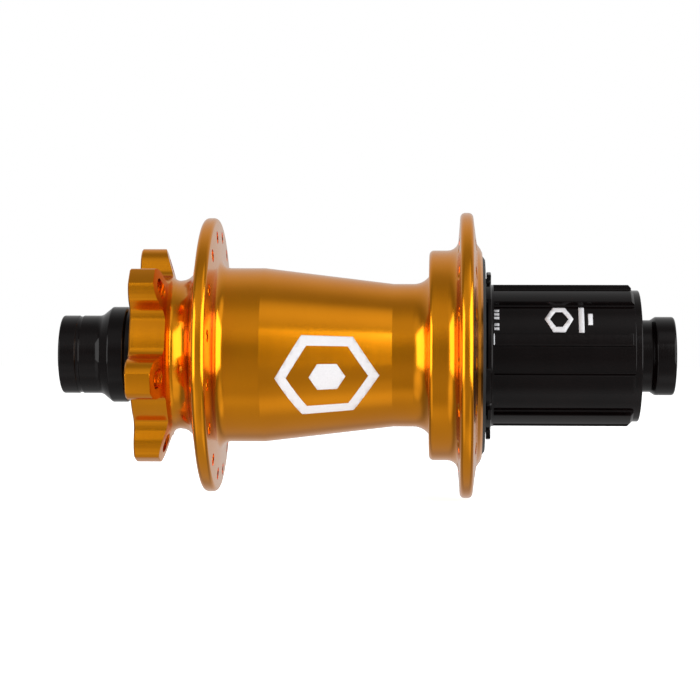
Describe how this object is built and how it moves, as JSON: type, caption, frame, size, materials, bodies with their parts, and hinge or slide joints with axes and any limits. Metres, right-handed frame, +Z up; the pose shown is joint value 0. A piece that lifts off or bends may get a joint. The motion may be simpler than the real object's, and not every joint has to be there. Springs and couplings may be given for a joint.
{
  "type": "bicycle rear hub",
  "caption": "Rear hub for a bicycle with a disc mount, two spoke flanges and a splined cassette body, which turn on a through-axle tube",
  "frame": {"origin": "on the axle line, halfway between the two end faces", "axes": "+X along the axle towards the drive side, +Z up"},
  "size_m": [0.148, 0.069, 0.069],
  "materials": {
    "gold_anodised": "glossy gold-orange anodising over fine turning marks",
    "black_anodised": "satin black anodising over fine turning marks",
    "turned_aluminium": "plain, turned",
    "hardened_steel": "ground and oiled",
    "black_rubber": "matt",
    "bearing_cage": "polished balls in a pressed cage"
  },
  "bodies": {
    "axle_group": {"axle": "turned_aluminium", "disc_side_end_cap": "black_anodised", "drive_side_end_cap": "black_anodised", "disc_side_cap_o_ring": "black_rubber", "drive_side_cap_o_ring": "black_rubber", "disc_side_bearing_inner_race": "hardened_steel", "drive_side_bearing_inner_race": "hardened_steel", "inner_body_bearing_inner_race": "hardened_steel", "outer_body_bearing_inner_race": "hardened_steel", "ratchet_spacer": "turned_aluminium", "cassette_body_spacer": "turned_aluminium"},
    "shell_group": {"hub_shell": "gold_anodised", "drive_ring": "hardened_steel", "disc_side_bearing_outer_race": "hardened_steel", "drive_side_bearing_outer_race": "hardened_steel", "disc_side_bearing_seal_disc_side": "black_rubber", "disc_side_bearing_seal_drive_side": "black_rubber", "drive_side_bearing_seal_disc_side": "black_rubber", "drive_side_bearing_seal_drive_side": "black_rubber", "disc_side_dust_seal": "black_rubber", "drive_side_lip_seal": "black_rubber"},
    "cassette_group": {"cassette_body": "black_anodised", "inner_body_bearing_outer_race": "hardened_steel", "outer_body_bearing_outer_race": "hardened_steel", "inner_body_bearing_seal_disc_side": "black_rubber", "inner_body_bearing_seal_drive_side": "black_rubber", "outer_body_bearing_seal_disc_side": "black_rubber", "outer_body_bearing_seal_drive_side": "black_rubber", "cassette_body_circlip": "hardened_steel", "pawl_spring_1": "hardened_steel", "pawl_spring_2": "hardened_steel", "pawl_spring_3": "hardened_steel", "pawl_spring_4": "hardened_steel", "pawl_spring_5": "hardened_steel", "pawl_spring_6": "hardened_steel"},
    "pawl_1": {"pawl_1": "hardened_steel"},
    "pawl_2": {"pawl_2": "hardened_steel"},
    "pawl_3": {"pawl_3": "hardened_steel"},
    "pawl_4": {"pawl_4": "hardened_steel"},
    "pawl_5": {"pawl_5": "hardened_steel"},
    "pawl_6": {"pawl_6": "hardened_steel"},
    "disc_side_cage": {"disc_side_bearing_ball_cage": "bearing_cage"},
    "drive_side_cage": {"drive_side_bearing_ball_cage": "bearing_cage"},
    "inner_body_cage": {"inner_body_bearing_ball_cage": "bearing_cage"},
    "outer_body_cage": {"outer_body_bearing_ball_cage": "bearing_cage"}
  },
  "joints": [
    {"name": "shell_spin", "type": "hinge", "parent": "axle_group", "child": "shell_group", "pos_m": [0, 0, 0], "axis": [1, 0, 0], "continuous": true},
    {"name": "cassette_spin", "type": "hinge", "parent": "axle_group", "child": "cassette_group", "pos_m": [0, 0, 0], "axis": [1, 0, 0], "continuous": true},
    {"name": "pawl_1_swing", "type": "hinge", "parent": "cassette_group", "child": "pawl_1", "pos_m": [0.0208, 0.0159, 0], "axis": [1, 0, 0], "range_deg": [0, 13.7], "stiffness_Nm_per_rad": 0.002, "springref_deg": 28.65},
    {"name": "pawl_2_swing", "type": "hinge", "parent": "cassette_group", "child": "pawl_2", "pos_m": [0.0208, 0.00795, 0.01377], "axis": [1, 0, 0], "range_deg": [0, 13.7], "stiffness_Nm_per_rad": 0.002, "springref_deg": 28.65},
    {"name": "pawl_3_swing", "type": "hinge", "parent": "cassette_group", "child": "pawl_3", "pos_m": [0.0208, -0.00795, 0.01377], "axis": [1, 0, 0], "range_deg": [0, 13.7], "stiffness_Nm_per_rad": 0.002, "springref_deg": 28.65},
    {"name": "pawl_4_swing", "type": "hinge", "parent": "cassette_group", "child": "pawl_4", "pos_m": [0.0208, -0.0159, 0], "axis": [1, 0, 0], "range_deg": [0, 13.7], "stiffness_Nm_per_rad": 0.002, "springref_deg": 28.65},
    {"name": "pawl_5_swing", "type": "hinge", "parent": "cassette_group", "child": "pawl_5", "pos_m": [0.0208, -0.00795, -0.01377], "axis": [1, 0, 0], "range_deg": [0, 13.7], "stiffness_Nm_per_rad": 0.002, "springref_deg": 28.65},
    {"name": "pawl_6_swing", "type": "hinge", "parent": "cassette_group", "child": "pawl_6", "pos_m": [0.0208, 0.00795, -0.01377], "axis": [1, 0, 0], "range_deg": [0, 13.7], "stiffness_Nm_per_rad": 0.002, "springref_deg": 28.65},
    {"name": "disc_side_cage_spin", "type": "hinge", "parent": "axle_group", "child": "disc_side_cage", "pos_m": [0, 0, 0], "axis": [1, 0, 0], "continuous": true},
    {"name": "drive_side_cage_spin", "type": "hinge", "parent": "axle_group", "child": "drive_side_cage", "pos_m": [0, 0, 0], "axis": [1, 0, 0], "continuous": true},
    {"name": "inner_body_cage_spin", "type": "hinge", "parent": "axle_group", "child": "inner_body_cage", "pos_m": [0, 0, 0], "axis": [1, 0, 0], "continuous": true},
    {"name": "outer_body_cage_spin", "type": "hinge", "parent": "axle_group", "child": "outer_body_cage", "pos_m": [0, 0, 0], "axis": [1, 0, 0], "continuous": true}
  ],
  "couplings": [
    {"joint": "disc_side_cage_spin", "follows": "shell_spin", "ratio": 0.5739},
    {"joint": "drive_side_cage_spin", "follows": "shell_spin", "ratio": 0.5739},
    {"joint": "inner_body_cage_spin", "follows": "cassette_spin", "ratio": 0.55344},
    {"joint": "outer_body_cage_spin", "follows": "cassette_spin", "ratio": 0.55344}
  ]
}
